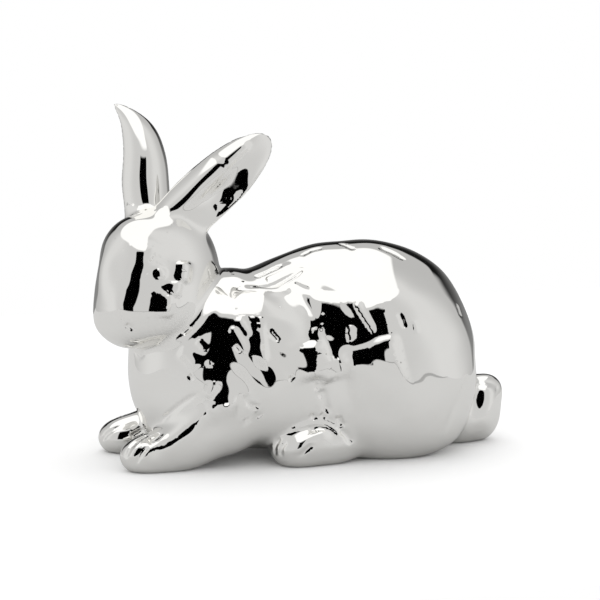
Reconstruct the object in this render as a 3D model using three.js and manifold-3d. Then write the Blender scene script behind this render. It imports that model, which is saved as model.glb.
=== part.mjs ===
// A crouching rabbit figurine in silver-plated metal, facing -X with its head turned
// towards its left side (-Y). Millimetres, +Z up, standing on the plane Z = 0.
// The body is a hollow shell in two halves. The head, the ears, the legs, the feet and
// the tail are castings of their own, each seated in an opening of the shell behind it.
import * as THREE from 'three';
import { mergeVertices } from 'three/addons/utils/BufferGeometryUtils.js';
import Module from 'manifold-3d';

const wasm = await Module();
wasm.setup();

// Driving dimensions

const WALL = 2.2; // shell thickness of the body
const HEAD_WALL = 2.2; // shell thickness of the head
const SEAT_CLEARANCE = 0.3; // gap between a casting and the opening that it sits in

const BODY_LENGTH = 99; // from the middle of the chest to the middle of the tail's root
const CHEST_X = -39; // middle of the chest
const CHEST_HALF_WIDTH = 21; // half width of the chest
const TAIL_X = CHEST_X + BODY_LENGTH; // middle of the tail's root
const RUMP_X = TAIL_X - 30; // middle of the hindquarters
const RUMP_HALF_WIDTH = 27; // half width of the hindquarters
const BACK_TOP = 78.2; // highest point of the arched back
const BELLY_BOTTOM = 2.6; // height of the belly over the ground
const NECK_TOP = 66; // height where the neck ends inside the head

const HEAD_X = -53; // middle of the skull
const HEAD_Y = -3;
const HEAD_Z = 67.5;
const HEAD_TURN = 30; // degrees, towards the left side
const SKULL_HALF_WIDTH = 18;
const SKULL_HALF_HEIGHT = 20;
const MUZZLE_REACH = 25; // nose tip, forward of the middle of the skull

const EYE_X = 11.5; // middle of an eye, forward, sideways and up from the middle of the skull
const EYE_Y = 13.5;
const EYE_Z = 3.7;
const EYE_RADIUS = 2.9;

const EAR_HALF_THICKNESS = 3.2; // at the middle line
const LEFT_EAR_LENGTH = 44.5; // from its root to its tip
const LEFT_EAR_HALF_WIDTH = 9.9; // at the widest place
const RIGHT_EAR_LENGTH = 45.5;
const RIGHT_EAR_HALF_WIDTH = 8.6;
const RIGHT_EAR_HOOK = 9; // how far its tip hooks sideways

const PAW_SPREAD = 15.6; // middle of a front paw, from the middle plane
const PAW_SHIFT = 0.3; // both front paws stand this much towards the right side
const PAW_X = -60.7; // middle of a front paw
const PAW_HALF_WIDTH = 7.2;
const PAW_LEAD = 2; // the right front paw stands this much ahead of the left one
const FOREARM_LENGTH = 32.5; // from the middle of a paw to the middle of the upper arm
const ELBOW_TO_FOOT = 31.2; // from the middle of the upper arm to that of the hind foot
const FOOT_SPREAD = 20.5; // middle of a hind foot, from the middle plane
const FOOT_X = PAW_X + FOREARM_LENGTH + ELBOW_TO_FOOT; // middle of a hind foot
const FOOT_HALF_LENGTH = 17;
const FOOT_HALF_WIDTH = 8.5;
const TAIL_LENGTH = 18; // from the middle of its root to its tip
const FLAT_DEPTH = 1.3; // how much of a rounded paw or foot is ground away at its flat

const PLUG_X = RUMP_X - 26; // middle of the drain plug in the belly
const PLUG_STEM_RADIUS = 8.5;
const PLUG_FLANGE_RADIUS = 10.5;
const PLUG_FLANGE_THICKNESS = 1.6;
const PLUG_LENGTH = 6.5; // from the flange's outer face to the end of the stem
const PLUG_RECESS = 0.6; // how far the flange lies above the belly's lowest point
const PLUG_SEAT_HEIGHT = 3; // thickness of the boss that the plug presses into
const PLUG_BOSS_WIDTH = 4; // width of the boss round the plug's hole

// Mesh steps: the edge length of the small faces, in millimetres
const BODY_STEP = 5;
const CAVITY_STEP = 7.5;
const HEAD_STEP = 4.2;
const LIMB_STEP = 3.6;
const EAR_SIDES = 26; // faces round an ear
const EAR_RINGS = 15; // faces along an ear
const PLUG_SIDES = 32;
const SHORTEST_EDGE = 0.02; // corners closer than this are made one

// Rounding where lumps of one casting melt together, in millimetres
const BODY_BLEND = 6;
const BODY_TRIM = 2.2; // taken off the body all round, for what so wide a blend adds
const HEAD_BLEND = 2;
const EYE_BLEND = 0.5;
const LIMB_BLEND = 1.5;

// The cutters reach past the figurine on all sides
const CUTTER_REACH = 200;
const CUTTER_DEPTH = 60; // below the ground
const HEAD_REACH = 36; // from the middle of the skull to the sides of its box
const LIMB_ROOM = 14; // from the middle line of a limb to the sides of its box
const FIELD_DEPTH = 8; // the boxes of the fields reach this far below the ground

// Field functions: each takes a point and gives its signed distance, negative inside

/** An ellipsoid at centre with half sizes half, its nose lifted by pitch degrees. */
function ellipsoid(centre, half, pitch = 0) {
  const c = Math.cos(THREE.MathUtils.degToRad(pitch));
  const s = Math.sin(THREE.MathUtils.degToRad(pitch));
  return (x, y, z) => {
    const dx = x - centre[0];
    const dy = y - centre[1];
    const dz = z - centre[2];
    const along = (c * dx + s * dz) / half[0];
    const across = dy / half[1];
    const up = (c * dz - s * dx) / half[2];
    const near = Math.hypot(along, across, up);
    const slope = Math.hypot(along / half[0], across / half[1], up / half[2]);
    return near < 1e-6 ? -Math.min(...half) : (near * (near - 1)) / slope;
  };
}

/** The union of fields, with inner corners rounded by about radius. */
function melt(fields, radius) {
  return (x, y, z) => {
    const values = fields.map((field) => field(x, y, z));
    const least = Math.min(...values);
    let sum = 0;
    for (const value of values) {
      sum += Math.exp((least - value) / radius);
    }
    return least - radius * Math.log(sum);
  };
}

/** The field grown by amount, or shrunk where amount is negative. */
function grown(field, amount) {
  return (x, y, z) => field(x, y, z) - amount;
}

const headTurn = THREE.MathUtils.degToRad(HEAD_TURN);
const headForward = new THREE.Vector3(-Math.cos(headTurn), -Math.sin(headTurn), 0);
const headLeft = new THREE.Vector3(Math.sin(headTurn), -Math.cos(headTurn), 0);
const headUp = new THREE.Vector3(0, 0, 1);
const headCentre = new THREE.Vector3(HEAD_X, HEAD_Y, HEAD_Z);

/** A field written in the head's own directions: forward, left and up from its middle. */
function inHead(field) {
  const offset = new THREE.Vector3();
  return (x, y, z) => {
    offset.set(x, y, z).sub(headCentre);
    return field(offset.dot(headForward), offset.dot(headLeft), offset.dot(headUp));
  };
}

const SIDES = [-1, 1]; // left is -Y, right is +Y

/** Barrel, loins, rump, flanks, chest, belly and neck, with the haunches and shoulders. */
function torsoField() {
  const barrelX = CHEST_X + 0.27 * BODY_LENGTH;
  const bellyX = CHEST_X + 0.41 * BODY_LENGTH;
  const flankX = CHEST_X + 0.237 * BODY_LENGTH;
  const lumps = [
    ellipsoid([RUMP_X - 3, 0, 44], [35, RUMP_HALF_WIDTH, BACK_TOP - 44.5]),
    ellipsoid([RUMP_X - 25, 0, 46], [23.5, 21, BACK_TOP - 49.2]),
    ellipsoid([RUMP_X + 6.5, 0, 31.5], [26.5, RUMP_HALF_WIDTH - 1, 27]),
    ellipsoid([barrelX, 0, 37], [0.26 * BODY_LENGTH, 19.5, 28.5]),
    ellipsoid([CHEST_X, 0, 38], [22.5, CHEST_HALF_WIDTH, 27]),
    ellipsoid([CHEST_X - 4, 0, 27], [16.5, CHEST_HALF_WIDTH - 3, 22]),
    ellipsoid([bellyX, 0, BELLY_BOTTOM + 13.8], [0.55 * BODY_LENGTH, 21.5, 12]),
    ellipsoid([CHEST_X - 4, -1, NECK_TOP - 14], [16, 15, 13]),
  ];
  for (const side of SIDES) {
    lumps.push(ellipsoid([RUMP_X + 3, side * (RUMP_HALF_WIDTH - 8.2), 32], [25, 14.5, 29], 15));
    lumps.push(ellipsoid([RUMP_X - 1, side * (RUMP_HALF_WIDTH - 11), 11.2], [26, 9.5, 10.3]));
    lumps.push(ellipsoid([CHEST_X + 4, side * (CHEST_HALF_WIDTH - 3.8), 36], [6, 8, 19], -12));
    lumps.push(ellipsoid([flankX, side * (CHEST_HALF_WIDTH - 2.2), 34], [13, 9.5, 21]));
  }
  return grown(melt(lumps, BODY_BLEND), -BODY_TRIM);
}

/** One bent foreleg, from the upper arm to the paw that reaches forward. */
function forelegField(side) {
  const pawY = side * PAW_SPREAD + PAW_SHIFT;
  const pawX = side > 0 ? PAW_X - PAW_LEAD : PAW_X;
  const armX = PAW_X + FOREARM_LENGTH;
  return melt([
    ellipsoid([armX, side * (PAW_SPREAD + 2.9), 22], [12, PAW_HALF_WIDTH + 0.8, 17], -20),
    ellipsoid([armX - 12, side * (PAW_SPREAD + 2), 12.5], [18, PAW_HALF_WIDTH + 1, 10], 24),
    ellipsoid([pawX + 8.5, pawY + side * 0.5, 6.5], [14, PAW_HALF_WIDTH + 0.2, 7.8], 8),
    ellipsoid([pawX, pawY, 6.6 - FLAT_DEPTH], [9.2, PAW_HALF_WIDTH, 6.6]),
  ], LIMB_BLEND);
}

/** One hind foot, most of it under the haunch. */
function hindFootField(side) {
  const footY = side * FOOT_SPREAD;
  const toeX = FOOT_X + 7.5 - FOOT_HALF_LENGTH;
  return melt([
    ellipsoid([FOOT_X, footY, 9 - FLAT_DEPTH], [FOOT_HALF_LENGTH, FOOT_HALF_WIDTH, 9]),
    ellipsoid([toeX, footY + side * 0.5, 7.8 - FLAT_DEPTH], [10, FOOT_HALF_WIDTH - 0.3, 7.8]),
  ], LIMB_BLEND);
}

/** The short tail, turned up behind the rump. */
function tailField() {
  const tip = TAIL_X + TAIL_LENGTH;
  return melt([
    ellipsoid([TAIL_X, 0, 10 - FLAT_DEPTH], [13, 9.5, 10]),
    ellipsoid([tip - 9, 0, 11], [8, 7.2, 11]),
    ellipsoid([tip - 11.5, 0, 15.5], [8.5, 6, 8.6]),
    ellipsoid([tip - 6.2, 0, 18.3], [5.4, 4.6, 6]),
  ], LIMB_BLEND);
}

/** Skull, forehead, nose bridge, muzzle, chin, cheeks and eyes, in the head's own directions. */
function headField() {
  const lumps = [
    ellipsoid([-3, 0, 3], [20, SKULL_HALF_WIDTH, SKULL_HALF_HEIGHT]),
    ellipsoid([MUZZLE_REACH - 9.5, 0, -10], [9.5, 8.5, 9.5]),
    ellipsoid([9, 0, 10.2], [13, 11.5, 12]),
    ellipsoid([15.8, 0, -1], [10, 6.6, 14], -14),
    ellipsoid([11.2, 0, -17.6], [9.6, 8, 6]),
  ];
  for (const side of [-1, 1]) {
    lumps.push(ellipsoid([2, side * 9, -4.5], [12.5, 10.2, 14.5]));
    lumps.push(ellipsoid([12, side * 6.2, -5], [8.5, 7.3, 11]));
    lumps.push(ellipsoid([3, side * 8.5, -10.5], [12.5, 9.5, 11]));
    lumps.push(ellipsoid([14, side * 5, -14], [9.5, 6, 6.5]));
  }
  const eyes = [-1, 1].map((side) => ellipsoid(
    [EYE_X, side * EYE_Y, EYE_Z],
    [EYE_RADIUS, EYE_RADIUS, EYE_RADIUS],
  ));
  return inHead(melt([melt(lumps, HEAD_BLEND), ...eyes], EYE_BLEND));
}

// Closed meshes and the cutting of them

/** A closed solid from flat lists of positions and triangle corners. */
function solidFromLists(positions, corners) {
  return new wasm.Manifold(new wasm.Mesh({
    numProp: 3,
    vertProperties: new Float32Array(positions),
    triVerts: new Uint32Array(corners),
  }));
}

/** A closed solid from a geometry whose faces share their corners once merged. */
function solidFromGeometry(geometry) {
  const bare = geometry.clone();
  bare.deleteAttribute('normal');
  bare.deleteAttribute('uv');
  const merged = mergeVertices(bare, 1e-4);
  return solidFromLists(merged.attributes.position.array, merged.index.array);
}

/** A box between two corners. */
function boxSolid(low, high) {
  const geometry = new THREE.BoxGeometry(high[0] - low[0], high[1] - low[1], high[2] - low[2]);
  geometry.translate((low[0] + high[0]) / 2, (low[1] + high[1]) / 2, (low[2] + high[2]) / 2);
  return solidFromGeometry(geometry);
}

/** An upright round solid of one radius between two heights. */
function discSolid(x, radius, bottom, top) {
  const geometry = new THREE.CylinderGeometry(radius, radius, top - bottom, PLUG_SIDES);
  geometry.rotateX(Math.PI / 2);
  geometry.translate(x, 0, (bottom + top) / 2);
  return solidFromGeometry(geometry);
}

/** Moves each vertex along the field's slope until it lies on the surface. */
function settleOnSurface(positions, field) {
  const rounds = 4;
  const nudge = 0.02;
  for (let v = 0; v < positions.length; v += 3) {
    for (let round = 0; round < rounds; round += 1) {
      const [x, y, z] = positions.slice(v, v + 3);
      const slope = [
        (field(x + nudge, y, z) - field(x - nudge, y, z)) / (2 * nudge),
        (field(x, y + nudge, z) - field(x, y - nudge, z)) / (2 * nudge),
        (field(x, y, z + nudge) - field(x, y, z - nudge)) / (2 * nudge),
      ];
      const steepness = Math.max(slope[0] ** 2 + slope[1] ** 2 + slope[2] ** 2, 1e-6);
      const distance = field(x, y, z) / steepness;
      positions[v] = x - slope[0] * distance;
      positions[v + 1] = y - slope[1] * distance;
      positions[v + 2] = z - slope[2] * distance;
    }
  }
}

/** The closed surface where the field is zero, with faces about step long. */
function solidFromField(field, low, high, step) {
  const counts = [0, 1, 2].map((a) => Math.ceil((high[a] - low[a]) / step) + 1);
  const strides = [counts[1] * counts[2], counts[2], 1];
  const total = counts[0] * counts[1] * counts[2];
  const values = new Float64Array(total);
  for (let i = 0, index = 0; i < counts[0]; i += 1) {
    for (let j = 0; j < counts[1]; j += 1) {
      for (let k = 0; k < counts[2]; k += 1, index += 1) {
        values[index] = field(low[0] + i * step, low[1] + j * step, low[2] + k * step);
      }
    }
  }
  const inside = (index) => values[index] < 0;
  const cellVertex = new Int32Array(total).fill(-1);
  const positions = [];
  for (let i = 0; i < counts[0] - 1; i += 1) {
    for (let j = 0; j < counts[1] - 1; j += 1) {
      for (let k = 0; k < counts[2] - 1; k += 1) {
        const base = i * strides[0] + j * strides[1] + k;
        const sum = [0, 0, 0];
        let crossings = 0;
        for (let corner = 0; corner < 8; corner += 1) {
          const bits = [corner & 1, (corner >> 1) & 1, (corner >> 2) & 1];
          const from = base + bits[0] * strides[0] + bits[1] * strides[1] + bits[2];
          for (let axis = 0; axis < 3; axis += 1) {
            const to = from + strides[axis];
            if (bits[axis] === 0 && inside(from) !== inside(to)) {
              const share = values[from] / (values[from] - values[to]);
              for (let a = 0; a < 3; a += 1) {
                sum[a] += bits[a] + (a === axis ? share : 0);
              }
              crossings += 1;
            }
          }
        }
        if (crossings > 0) {
          cellVertex[base] = positions.length / 3;
          positions.push(
            low[0] + (i + sum[0] / crossings) * step,
            low[1] + (j + sum[1] / crossings) * step,
            low[2] + (k + sum[2] / crossings) * step,
          );
        }
      }
    }
  }
  settleOnSurface(positions, field);
  const gap = (a, b) => Math.hypot(
    positions[3 * a] - positions[3 * b],
    positions[3 * a + 1] - positions[3 * b + 1],
    positions[3 * a + 2] - positions[3 * b + 2],
  );
  const corners = [];
  for (let axis = 0; axis < 3; axis += 1) {
    const next = strides[(axis + 1) % 3];
    const last = strides[(axis + 2) % 3];
    for (let index = next + last; index < total - strides[axis]; index += 1) {
      if (inside(index) !== inside(index + strides[axis])) {
        const ring = [index - next - last, index - last, index, index - next];
        const quad = ring.map((cell) => cellVertex[cell]);
        if (!inside(index)) {
          quad.reverse();
        }
        if (gap(quad[0], quad[2]) < gap(quad[1], quad[3])) {
          corners.push(quad[0], quad[1], quad[2], quad[0], quad[2], quad[3]);
        } else {
          corners.push(quad[1], quad[2], quad[3], quad[1], quad[3], quad[0]);
        }
      }
    }
  }
  return solidFromLists(positions, corners);
}

/** The largest piece of a solid, without the crumbs that a cut can leave. */
function largestPiece(solid) {
  const pieces = solid.decompose();
  pieces.sort((a, b) => b.volume() - a.volume());
  return pieces[0];
}

// The boxes that hold each casting, wide enough for its field
const BODY_LOW = [CHEST_X - 36, -RUMP_HALF_WIDTH - LIMB_ROOM, -FIELD_DEPTH];
const BODY_HIGH = [RUMP_X + 45, RUMP_HALF_WIDTH + LIMB_ROOM, BACK_TOP + LIMB_ROOM];

/** A box that reaches past the figurine all round, between two heights and two sides. */
function wideBox(left, right, bottom, top) {
  return boxSolid([-CUTTER_REACH, left, bottom], [CUTTER_REACH, right, top]);
}

const ground = wideBox(-CUTTER_REACH, CUTTER_REACH, -CUTTER_DEPTH, 0);

const torso = torsoField();
const head = headField();
const tail = tailField();

/** A limb as a solid, grown by amount. */
function limbSolid(field, low, high, amount = 0) {
  return solidFromField(grown(field, amount), low, high, LIMB_STEP);
}

/** The box round one foreleg. */
function forelegBox(side) {
  const middle = side * PAW_SPREAD + PAW_SHIFT;
  const back = PAW_X + FOREARM_LENGTH + LIMB_ROOM + 6;
  return [[PAW_X - LIMB_ROOM, middle - LIMB_ROOM, -FIELD_DEPTH], [back, middle + LIMB_ROOM, 46]];
}

/** The box round one hind foot. */
function hindFootBox(side) {
  const middle = side * FOOT_SPREAD;
  const reach = FOOT_HALF_LENGTH + 8;
  return [[FOOT_X - reach, middle - LIMB_ROOM, -FIELD_DEPTH], [FOOT_X + reach, middle + LIMB_ROOM, 24]];
}

const tailBox = [
  [TAIL_X - TAIL_LENGTH, -LIMB_ROOM, -FIELD_DEPTH],
  [TAIL_X + TAIL_LENGTH + 6, LIMB_ROOM, 34],
];
const headBox = [
  [HEAD_X - HEAD_REACH, HEAD_Y - HEAD_REACH, HEAD_Z - HEAD_REACH],
  [HEAD_X + HEAD_REACH, HEAD_Y + HEAD_REACH, HEAD_Z + HEAD_REACH],
];

// Ears: each is a long flat lobe, shaped across by its section, whose root sits in the skull

const EAR_HALF_SHARE = 0.68; // half of the lobe's length, as a share of the ear's
const BEND_SHARE = 0.55; // where an ear bends back, as a share of its length
const BEND_SOFTNESS = 0.03; // how gradual that bend is, as a share of its length

/** A bell curve of height 1. */
function bell(offset, width) {
  return Math.exp(-((offset / width) ** 2));
}

/** A broad rolled front edge, then a hollow that rises again to the back edge. */
function openEar(flat, share) {
  const roll = 3.4 * bell(flat - 4.4, 4.8) * (1 - 0.3 * share);
  const hollow = 3.2 * Math.exp(-(((flat + 4.8) / 4.6) ** 4)) * bell(share - 0.44, 0.2);
  return roll - hollow - 1;
}

/** Arched all across, and falling away at the back edge. */
function closedEar(flat) {
  return 1.6 - (flat / 5.6) ** 2 - 1.2 * bell(flat + 9, 3);
}

const ears = {
  left: {
    root: [-4.1, 4.8, 19.8],
    axis: [-0.56, 0.5, 0.69],
    face: [0.66, 0.7, 0.25],
    length: LEFT_EAR_LENGTH,
    halfWidth: LEFT_EAR_HALF_WIDTH,
    hook: 0,
    lean: 3,
    bend: 5,
    section: openEar,
  },
  right: {
    root: [-3.5, -9, 17],
    axis: [-0.15, -0.21, 0.96],
    face: [0.49, 0.87, 0.3],
    length: RIGHT_EAR_LENGTH,
    halfWidth: RIGHT_EAR_HALF_WIDTH,
    hook: RIGHT_EAR_HOOK,
    lean: 6,
    bend: 5,
    section: closedEar,
  },
};

/** A point given forward, left and up in the head, in the figurine's directions. */
function fromHead(point) {
  return headCentre.clone()
    .addScaledVector(headForward, point.x)
    .addScaledVector(headLeft, point.y)
    .addScaledVector(headUp, point.z);
}

/** One ear grown by amount: a sphere stretched, shaped across, its tip hooked and leaned back. */
function earSolid(ear, amount = 0) {
  const along = new THREE.Vector3(...ear.axis).normalize();
  const facing = new THREE.Vector3(...ear.face);
  facing.addScaledVector(along, -facing.dot(along)).normalize();
  const across = new THREE.Vector3().crossVectors(facing, along);
  const root = new THREE.Vector3(...ear.root);
  const geometry = new THREE.SphereGeometry(1, EAR_SIDES, EAR_RINGS);
  geometry.rotateX(Math.PI / 2);
  const place = geometry.attributes.position;
  const point = new THREE.Vector3();
  const halfLength = ear.length * EAR_HALF_SHARE + amount;
  for (let v = 0; v < place.count; v += 1) {
    const height = ear.length * (1 - EAR_HALF_SHARE) + place.getZ(v) * halfLength;
    const share = Math.min(Math.max(height / ear.length, 0), 1.1);
    const flat = place.getX(v) * (ear.halfWidth + amount);
    const hook = ear.hook * Math.max((share - 0.5) / 0.5, 0) ** 3.5;
    const bend = ear.bend * BEND_SOFTNESS
      * Math.log1p(Math.exp((share - BEND_SHARE) / BEND_SOFTNESS));
    const thick = place.getY(v) * (EAR_HALF_THICKNESS + amount)
      + ear.section(flat, share) - ear.lean * share ** 2 - bend;
    point.copy(root)
      .addScaledVector(along, height)
      .addScaledVector(across, flat + hook)
      .addScaledVector(facing, thick);
    const placed = fromHead(point);
    place.setXYZ(v, placed.x, placed.y, placed.z);
  }
  const solid = solidFromGeometry(geometry);
  return solid.volume() < 0 ? solidFromGeometry(flipped(geometry)) : solid;
}

/** The geometry with its faces turned over. */
function flipped(geometry) {
  const copy = geometry.clone();
  copy.setIndex(Array.from(copy.index.array).reverse());
  return copy;
}

// Cavities of the two shells

const plugBottom = BELLY_BOTTOM + PLUG_RECESS;
const seatHeight = plugBottom + PLUG_FLANGE_THICKNESS;
const bossTop = seatHeight + PLUG_SEAT_HEIGHT;
const plugHoleRadius = PLUG_STEM_RADIUS + SEAT_CLEARANCE;
const plugBoss = discSolid(PLUG_X, plugHoleRadius + PLUG_BOSS_WIDTH, -1, bossTop);
const bodyCavity = solidFromField(grown(torso, -WALL), BODY_LOW, BODY_HIGH, CAVITY_STEP)
  .subtract(wideBox(-CUTTER_REACH, CUTTER_REACH, -CUTTER_DEPTH, WALL))
  .subtract(plugBoss);
const headCavity = solidFromField(grown(head, -HEAD_WALL), ...headBox, CAVITY_STEP);

// Castings that sit in the body

/** A casting cut flat on the ground and flush with the inside of the body. */
function seatedInBody(solid) {
  return largestPiece(solid.subtract(ground).subtract(bodyCavity));
}

const limbs = {
  foreleg_left: [forelegField(-1), forelegBox(-1)],
  foreleg_right: [forelegField(1), forelegBox(1)],
  hind_foot_left: [hindFootField(-1), hindFootBox(-1)],
  hind_foot_right: [hindFootField(1), hindFootBox(1)],
  tail: [tail, tailBox],
};

const headOuter = solidFromField(head, ...headBox, HEAD_STEP);
const headOpening = solidFromField(grown(head, SEAT_CLEARANCE), ...headBox, HEAD_STEP);

const pieces = {};
let bodyOpenings = headOpening;
for (const [name, [field, box]] of Object.entries(limbs)) {
  pieces[name] = seatedInBody(limbSolid(field, ...box));
  bodyOpenings = bodyOpenings.add(limbSolid(field, ...box, SEAT_CLEARANCE));
}

// The body: a hollow shell in two halves that meet on the middle plane

const plugHole = discSolid(PLUG_X, plugHoleRadius, -CUTTER_DEPTH, bossTop + PLUG_SEAT_HEIGHT);
const plugRecess = discSolid(PLUG_X, PLUG_FLANGE_RADIUS + SEAT_CLEARANCE, -CUTTER_DEPTH, seatHeight);
const shell = solidFromField(torso, BODY_LOW, BODY_HIGH, BODY_STEP)
  .subtract(ground)
  .subtract(bodyCavity)
  .subtract(bodyOpenings)
  .subtract(plugHole)
  .subtract(plugRecess);
const leftHalf = wideBox(-CUTTER_REACH, 0, -CUTTER_DEPTH, CUTTER_REACH);
const rightHalf = wideBox(0, CUTTER_REACH, -CUTTER_DEPTH, CUTTER_REACH);
pieces.body_shell_left = largestPiece(shell.intersect(leftHalf));
pieces.body_shell_right = largestPiece(shell.intersect(rightHalf));

// The head: hollow, with an opening below that leads into the body

const VENT_RADIUS = 7;
const VENT_BACK = 8; // behind the middle of the skull
const VENT_TOP = 4; // below the middle of the skull
const VENT_SIDES = 24;
const ventGeometry = new THREE.CylinderGeometry(VENT_RADIUS, VENT_RADIUS, HEAD_REACH, VENT_SIDES);
ventGeometry.rotateX(Math.PI / 2);
ventGeometry.translate(HEAD_X + VENT_BACK, HEAD_Y, HEAD_Z - VENT_TOP - HEAD_REACH / 2);
const headVent = solidFromGeometry(ventGeometry);

const rightEarSeat = earSolid(ears.right, SEAT_CLEARANCE);
const leftEarSeat = earSolid(ears.left, SEAT_CLEARANCE);
pieces.ear_left = largestPiece(earSolid(ears.left).subtract(headCavity));
pieces.ear_right = largestPiece(earSolid(ears.right).subtract(headCavity).subtract(leftEarSeat));
pieces.head_shell = largestPiece(
  headOuter.subtract(headCavity).subtract(headVent).subtract(leftEarSeat).subtract(rightEarSeat),
);

// The drain plug of the body, pressed in from below

pieces.belly_plug = discSolid(PLUG_X, PLUG_FLANGE_RADIUS, plugBottom, seatHeight)
  .add(discSolid(PLUG_X, PLUG_STEM_RADIUS, plugBottom, plugBottom + PLUG_LENGTH));

const SILVER = { color: 0xd9d9d6, roughness: 0.05, metalness: 1 };
const RUBBER = { color: 0x2b2b2b, roughness: 0.8, metalness: 0 };

/** The solid's closed mesh, with corners nearer than SHORTEST_EDGE made one. */
function cleanGeometry(solid) {
  const mesh = solid.getMesh();
  const geometry = new THREE.BufferGeometry();
  const positions = new Float32Array(mesh.vertProperties);
  geometry.setAttribute('position', new THREE.BufferAttribute(positions, 3));
  geometry.setIndex(new THREE.BufferAttribute(new Uint32Array(mesh.triVerts), 1));
  const merged = mergeVertices(geometry, SHORTEST_EDGE);
  const corners = Array.from(merged.index.array);
  const kept = [];
  for (let t = 0; t < corners.length; t += 3) {
    const [a, b, c] = corners.slice(t, t + 3);
    if (a !== b && b !== c && c !== a) {
      kept.push(a, b, c);
    }
  }
  merged.setIndex(kept);
  return merged;
}

/** The named mesh of one solid. */
function meshOf(name, solid) {
  const finish = name === 'belly_plug' ? RUBBER : SILVER;
  const result = new THREE.Mesh(cleanGeometry(solid), new THREE.MeshStandardMaterial(finish));
  result.name = name;
  return result;
}

const figurine = new THREE.Group();
for (const [name, solid] of Object.entries(pieces)) {
  figurine.add(meshOf(name, solid));
}

// The origin is on the ground, in the middle of the figurine's box
const extent = new THREE.Box3().setFromObject(figurine);
const middle = extent.getCenter(new THREE.Vector3());
figurine.position.set(-middle.x, -middle.y, 0);

export default figurine;
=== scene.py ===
"""Looks of a crouching rabbit figurine, mirror-bright silver plate all over.

The rabbit faces -X with its head turned to its left side (-Y), and Z = 0 is the ground.
Its skin is the zero level of one signed field: lumps melted together, as in the construction,
with strokes of relief for the nose, eyelids, toes and fur. The skin is cut along the creases
between the castings, and each part gets a wall, so that every casting is a closed piece of its own.
"""
from math import cos, pi, radians, sin

import bpy
import numpy as np
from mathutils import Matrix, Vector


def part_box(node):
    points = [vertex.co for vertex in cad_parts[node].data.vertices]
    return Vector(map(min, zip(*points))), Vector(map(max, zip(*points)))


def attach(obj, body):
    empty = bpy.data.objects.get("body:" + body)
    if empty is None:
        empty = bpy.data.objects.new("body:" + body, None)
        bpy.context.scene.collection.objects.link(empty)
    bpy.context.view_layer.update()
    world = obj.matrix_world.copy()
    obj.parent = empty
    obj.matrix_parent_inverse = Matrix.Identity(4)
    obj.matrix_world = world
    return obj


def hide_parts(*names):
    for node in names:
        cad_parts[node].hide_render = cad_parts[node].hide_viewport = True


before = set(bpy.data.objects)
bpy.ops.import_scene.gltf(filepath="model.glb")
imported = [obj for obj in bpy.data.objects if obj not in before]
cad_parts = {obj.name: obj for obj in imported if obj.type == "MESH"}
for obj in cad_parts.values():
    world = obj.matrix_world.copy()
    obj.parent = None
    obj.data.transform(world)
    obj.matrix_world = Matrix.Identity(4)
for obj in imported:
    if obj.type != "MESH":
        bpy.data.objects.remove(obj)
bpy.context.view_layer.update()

# Driving sizes, in millimetres, in the figurine's own frame
MM = 0.001
MESH_STEP = 0.8
WALL = 1.2
LEFT, RIGHT = -1, 1
MIRROR = [1, -1, 1]

RUMP_X, RUMP_HALF_WIDTH, BACK_TOP = 30.0, 27.0, 78.2
CHEST_X, CHEST_HALF_WIDTH, BELLY_BOTTOM, NECK_TOP = -39.0, 21.0, 2.6, 66.0
HEAD_CENTRE, HEAD_TURN = np.array([-53.0, -3.0, 67.5]), radians(30)
SKULL_HALF_WIDTH, SKULL_HALF_HEIGHT, MUZZLE_REACH = 18.0, 20.0, 25.0
EAR_HALF_THICKNESS = 3.2
EYE, EYE_RADIUS = (11.8, 14.2, 3.8), 1.9
PAW_SPREAD, PAW_SHIFT, PAW_X, PAW_HALF_WIDTH, PAW_LEAD = 15.6, 0.3, -60.7, 7.2, 2.0
FOOT_SPREAD, FOOT_X, FOOT_HALF_LENGTH, FOOT_HALF_WIDTH = 20.5, 3.0, 17.0, 8.5
TAIL_X, TAIL_LENGTH, FLAT_DEPTH = 60.0, 18.0, 1.3
PLUG_X, PLUG_RADIUS, PLUG_LEDGE, PLUG_SEAT, PLUG_HOLE_TOP = 4.0, 10.8, 2.0, 4.8, 11.0
BODY_MELT, BODY_TRIM = 6.0, 2.2

# The construction's frame: the plug shows where the figurine's own middle plane and X = 0 are
plug_low, plug_high = (np.array(corner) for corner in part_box("belly_plug"))
ORIGIN = np.array([(plug_low[0] + plug_high[0]) / 2 - PLUG_X * MM, (plug_low[1] + plug_high[1]) / 2, 0.0])


# Fields: each takes points (n, 3) in millimetres and gives signed distances, negative inside

def ellipsoid(centre, half, pitch=0.0):
    """k(k - 1) / |q / half|, with q the point's offset in half sizes and k its length."""
    c, s = cos(radians(pitch)), sin(radians(pitch))
    half = np.array(half, float)

    def field(points):
        offset = points - centre
        turned = np.stack([c * offset[:, 0] + s * offset[:, 2], offset[:, 1],
                           c * offset[:, 2] - s * offset[:, 0]], 1) / half
        near = np.sqrt((turned ** 2).sum(1) + 1e-12)
        slope = np.sqrt(((turned / half) ** 2).sum(1) + 1e-12)
        return near * (near - 1) / slope
    return field


def melt(distances, radius):
    """-radius * log(sum(exp(-d / radius))): the union, its inner corners rounded."""
    least = np.min(distances, axis=0)
    return least - radius * np.log(sum(np.exp((least - one) / radius) for one in distances))


def carve(distance, cutter, radius):
    """The part of distance that lies outside cutter, its new edges rounded."""
    return -melt([-distance, cutter], radius)


def lumps(fields, radius):
    """One field from many, melted together by radius."""
    return lambda points: melt([field(points) for field in fields], radius)


HEAD_AXES = np.array([[-cos(HEAD_TURN), -sin(HEAD_TURN), 0.0],
                      [sin(HEAD_TURN), -cos(HEAD_TURN), 0.0],
                      [0.0, 0.0, 1.0]])


def to_head(points):
    """Points in the head's own directions: forward, left and up from its middle."""
    return (points - HEAD_CENTRE) @ HEAD_AXES.T


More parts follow.
